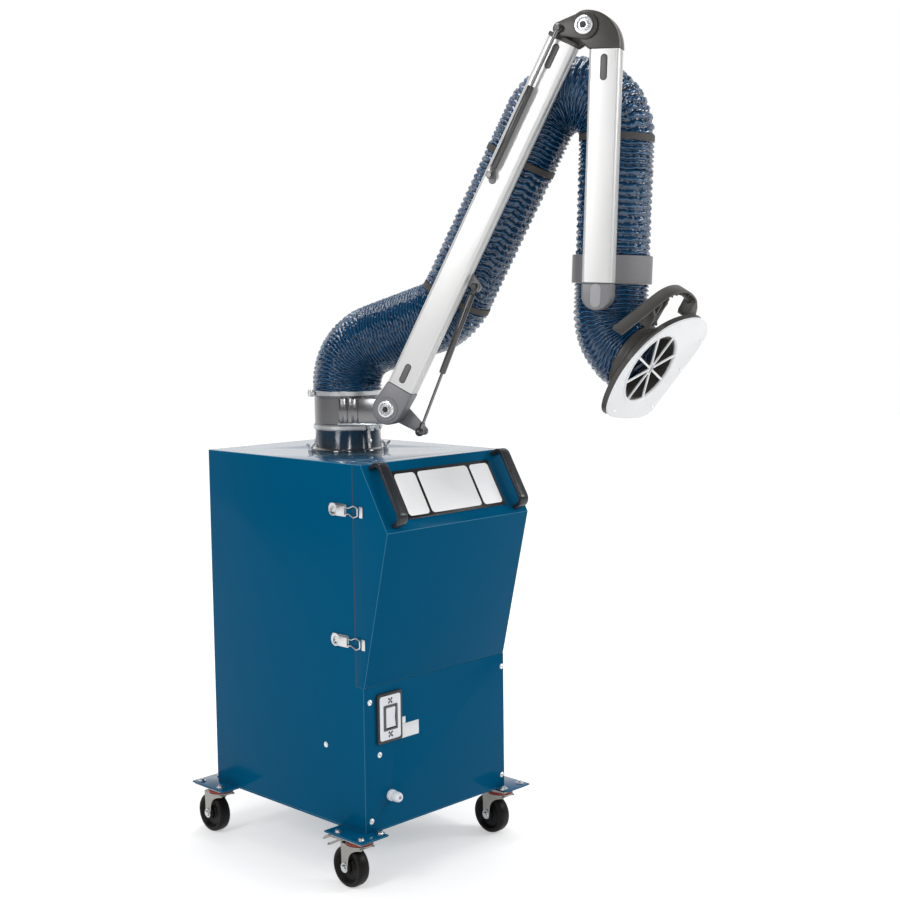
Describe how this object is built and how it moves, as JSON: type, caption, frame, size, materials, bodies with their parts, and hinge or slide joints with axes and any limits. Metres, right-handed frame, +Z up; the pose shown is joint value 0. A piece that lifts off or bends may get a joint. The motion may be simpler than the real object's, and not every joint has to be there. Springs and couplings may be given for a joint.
{
  "type": "mobile fume extraction unit with arm",
  "caption": "Wheeled filter cabinet with a sloped front hatch, carrying a jointed fume extraction arm of two links and ribbed hose that ends in a tilting hood.",
  "frame": {"origin": "on the floor, under the middle of the object's bounding box", "axes": "+Z up, the cabinet's front looks along -Y"},
  "size_m": [0.7514, 1.1446, 1.995],
  "materials": {
    "blue_paint": "gloss powder coat",
    "zinc": "zinc plated",
    "black_plastic": "satin moulded",
    "dark_plastic": "satin moulded",
    "grey_casting": "satin moulded",
    "white_plastic": "gloss moulded",
    "pale_aluminium": "satin anodised",
    "gunmetal": "gloss dark coating",
    "navy_hose": "glossy coated fabric",
    "filter_paper": "matt paper",
    "motor_iron": "satin paint",
    "grille_paint": "satin powder coat"
  },
  "bodies": {
    "cabinet": {"base_pan": "blue_paint", "cabinet_shell": "blue_paint", "exhaust_grille": "grille_paint", "fan_deck": "zinc", "filter_cartridge": "filter_paper", "fan_motor": "motor_iron", "lower_front_panel": "blue_paint", "switch_plate": "black_plastic", "cable_gland": "white_plastic", "castor_plate_front_left": "zinc", "castor_plate_front_right": "zinc", "castor_plate_rear_left": "zinc", "castor_plate_rear_right": "zinc", "latch_base_lower_left": "zinc", "latch_base_lower_right": "zinc", "latch_base_upper_left": "zinc", "latch_base_upper_right": "zinc", "top_spigot": "gunmetal"},
    "hatch": {"front_hatch": "blue_paint", "hatch_handle_left": "dark_plastic", "hatch_handle_right": "dark_plastic"},
    "impeller": {"fan_impeller": "zinc"},
    "rocker": {"switch_rocker": "dark_plastic"},
    "swivel": {"swivel_collar": "gunmetal", "lower_pivot_bolt": "zinc", "hose_foot": "navy_hose"},
    "lower_arm": {"lower_knuckle": "grey_casting", "lower_link_tube": "pale_aluminium", "lower_link_cap": "dark_plastic", "elbow_bolt": "zinc", "hose_lower": "navy_hose", "hose_elbow": "navy_hose"},
    "lift_cylinder": {"lift_spring_cylinder": "black_plastic"},
    "lift_rod": {"lift_spring_rod": "zinc"},
    "elbow_cylinder": {"elbow_spring_cylinder": "black_plastic"},
    "elbow_rod": {"elbow_spring_rod": "zinc"},
    "upper_arm": {"elbow_knuckle": "dark_plastic", "upper_link_tube": "pale_aluminium", "upper_link_cap": "grey_casting", "hose_ring": "grey_casting", "hose_upper": "navy_hose"},
    "gimbal": {"hood_stem": "zinc", "hose_hood": "navy_hose"},
    "hood": {"hood_shell": "dark_plastic", "hood_face": "white_plastic", "hood_handle": "dark_plastic"},
    "latch_lower_left": {"latch_lever_lower_left": "zinc"},
    "latch_lower_right": {"latch_lever_lower_right": "zinc"},
    "latch_upper_left": {"latch_lever_upper_left": "zinc"},
    "latch_upper_right": {"latch_lever_upper_right": "zinc"},
    "fork_front_left": {"castor_fork_front_left": "zinc"},
    "wheel_front_left": {"castor_wheel_front_left": "black_plastic"},
    "fork_front_right": {"castor_fork_front_right": "zinc"},
    "wheel_front_right": {"castor_wheel_front_right": "black_plastic"},
    "fork_rear_left": {"castor_fork_rear_left": "zinc"},
    "wheel_rear_left": {"castor_wheel_rear_left": "black_plastic"},
    "fork_rear_right": {"castor_fork_rear_right": "zinc"},
    "wheel_rear_right": {"castor_wheel_rear_right": "black_plastic"},
    "pedal_front_left": {"brake_pedal_front_left": "zinc"},
    "pedal_front_right": {"brake_pedal_front_right": "zinc"}
  },
  "joints": [
    {"name": "arm_swivel", "type": "hinge", "parent": "cabinet", "child": "swivel", "pos_m": [-0.08874, 0.24227, 1.0535], "axis": [0, 0, 1], "range_deg": [-170, 170]},
    {"name": "lower_arm_pitch", "type": "hinge", "parent": "swivel", "child": "lower_arm", "pos_m": [-0.02441, 0.08924, 1.107], "axis": [-0.9219, -0.3875, 0], "range_deg": [-30, 20], "deforming": ["hose_foot"]},
    {"name": "lift_spring_swing", "type": "hinge", "parent": "lower_arm", "child": "lift_cylinder", "pos_m": [0.06114, -0.11427, 1.3933], "axis": [-0.9219, -0.3875, 0], "range_deg": [-0.92, 1.13]},
    {"name": "lift_spring_slide", "type": "slide", "parent": "lift_cylinder", "child": "lift_rod", "axis": [-0.1508, 0.3588, -0.9212], "range_m": [-0.0502, 0.0342]},
    {"name": "elbow", "type": "hinge", "parent": "lower_arm", "child": "upper_arm", "pos_m": [0.1672, -0.36658, 1.95999], "axis": [-0.9219, -0.3875, 0], "range_deg": [-8, 70], "deforming": ["hose_elbow"]},
    {"name": "elbow_spring_swing", "type": "hinge", "parent": "lower_arm", "child": "elbow_cylinder", "pos_m": [0.08197, -0.16382, 1.64505], "axis": [-0.9219, -0.3875, 0], "range_deg": [-10.27, 1.62]},
    {"name": "elbow_spring_slide", "type": "slide", "parent": "elbow_cylinder", "child": "elbow_rod", "axis": [0.1792, -0.4263, 0.8867], "range_m": [-0.0348, 0.0057]},
    {"name": "hood_swivel", "type": "hinge", "parent": "upper_arm", "child": "gimbal", "pos_m": [0.17627, -0.38814, 1.39668], "axis": [0.0149, -0.0354, 0.9993], "range_deg": [-60, 40]},
    {"name": "hood_tilt", "type": "hinge", "parent": "gimbal", "child": "hood", "pos_m": [0.1743, -0.38347, 1.26477], "axis": [-0.9929, -0.1186, 0.0106], "range_deg": [-40, 22], "deforming": ["hose_hood"]},
    {"name": "hatch_slide", "type": "slide", "parent": "cabinet", "child": "hatch", "axis": [0, -1, 0], "range_m": [0, 0.4]},
    {"name": "latch_lower_left_swing", "type": "hinge", "parent": "cabinet", "child": "latch_lower_left", "pos_m": [-0.32734, 0.04227, 0.582], "axis": [0, 0, -1], "range_deg": [0, 90]},
    {"name": "latch_lower_right_swing", "type": "hinge", "parent": "cabinet", "child": "latch_lower_right", "pos_m": [0.14986, 0.04227, 0.582], "axis": [0, 0, 1], "range_deg": [0, 90]},
    {"name": "latch_upper_left_swing", "type": "hinge", "parent": "cabinet", "child": "latch_upper_left", "pos_m": [-0.32734, 0.04227, 0.888], "axis": [0, 0, -1], "range_deg": [0, 90]},
    {"name": "latch_upper_right_swing", "type": "hinge", "parent": "cabinet", "child": "latch_upper_right", "pos_m": [0.14986, 0.04227, 0.888], "axis": [0, 0, 1], "range_deg": [0, 90]},
    {"name": "castor_front_left_swivel", "type": "hinge", "parent": "cabinet", "child": "fork_front_left", "pos_m": [-0.32974, -0.04373, 0.1], "axis": [0, 0, 1], "continuous": true},
    {"name": "castor_front_right_swivel", "type": "hinge", "parent": "cabinet", "child": "fork_front_right", "pos_m": [0.15226, -0.04373, 0.1], "axis": [0, 0, 1], "continuous": true},
    {"name": "castor_rear_left_swivel", "type": "hinge", "parent": "cabinet", "child": "fork_rear_left", "pos_m": [-0.32974, 0.49227, 0.1], "axis": [0, 0, 1], "continuous": true},
    {"name": "castor_rear_right_swivel", "type": "hinge", "parent": "cabinet", "child": "fork_rear_right", "pos_m": [0.15226, 0.49227, 0.1], "axis": [0, 0, 1], "continuous": true},
    {"name": "wheel_front_left_spin", "type": "hinge", "parent": "fork_front_left", "child": "wheel_front_left", "pos_m": [-0.32974, -0.01373, 0.05], "axis": [1, 0, 0], "continuous": true},
    {"name": "wheel_front_right_spin", "type": "hinge", "parent": "fork_front_right", "child": "wheel_front_right", "pos_m": [0.15226, -0.01373, 0.05], "axis": [1, 0, 0], "continuous": true},
    {"name": "wheel_rear_left_spin", "type": "hinge", "parent": "fork_rear_left", "child": "wheel_rear_left", "pos_m": [-0.32974, 0.52227, 0.05], "axis": [1, 0, 0], "continuous": true},
    {"name": "wheel_rear_right_spin", "type": "hinge", "parent": "fork_rear_right", "child": "wheel_rear_right", "pos_m": [0.15226, 0.52227, 0.05], "axis": [1, 0, 0], "continuous": true},
    {"name": "pedal_front_left_press", "type": "hinge", "parent": "fork_front_left", "child": "pedal_front_left", "pos_m": [-0.32974, -0.01383, 0.1113], "axis": [-1, 0, 0], "range_deg": [0, 10]},
    {"name": "pedal_front_right_press", "type": "hinge", "parent": "fork_front_right", "child": "pedal_front_right", "pos_m": [0.15226, -0.01383, 0.1113], "axis": [-1, 0, 0], "range_deg": [0, 10]},
    {"name": "impeller_spin", "type": "hinge", "parent": "cabinet", "child": "impeller", "pos_m": [-0.08874, 0.22427, 0.432], "axis": [0, 0, 1], "continuous": true},
    {"name": "rocker_tilt", "type": "hinge", "parent": "cabinet", "child": "rocker", "pos_m": [-0.24974, -0.06403, 0.399], "axis": [1, 0, 0], "range_deg": [-6, 6]}
  ],
  "couplings": [
    {"joint": "lift_spring_swing", "follows": "lower_arm_pitch", "ratio": -0.02111},
    {"joint": "lift_spring_slide", "follows": "lower_arm_pitch", "m_per_rad": 0.09212},
    {"joint": "elbow_spring_swing", "follows": "elbow", "ratio": -0.13957},
    {"joint": "elbow_spring_slide", "follows": "elbow", "m_per_rad": -0.02683}
  ]
}
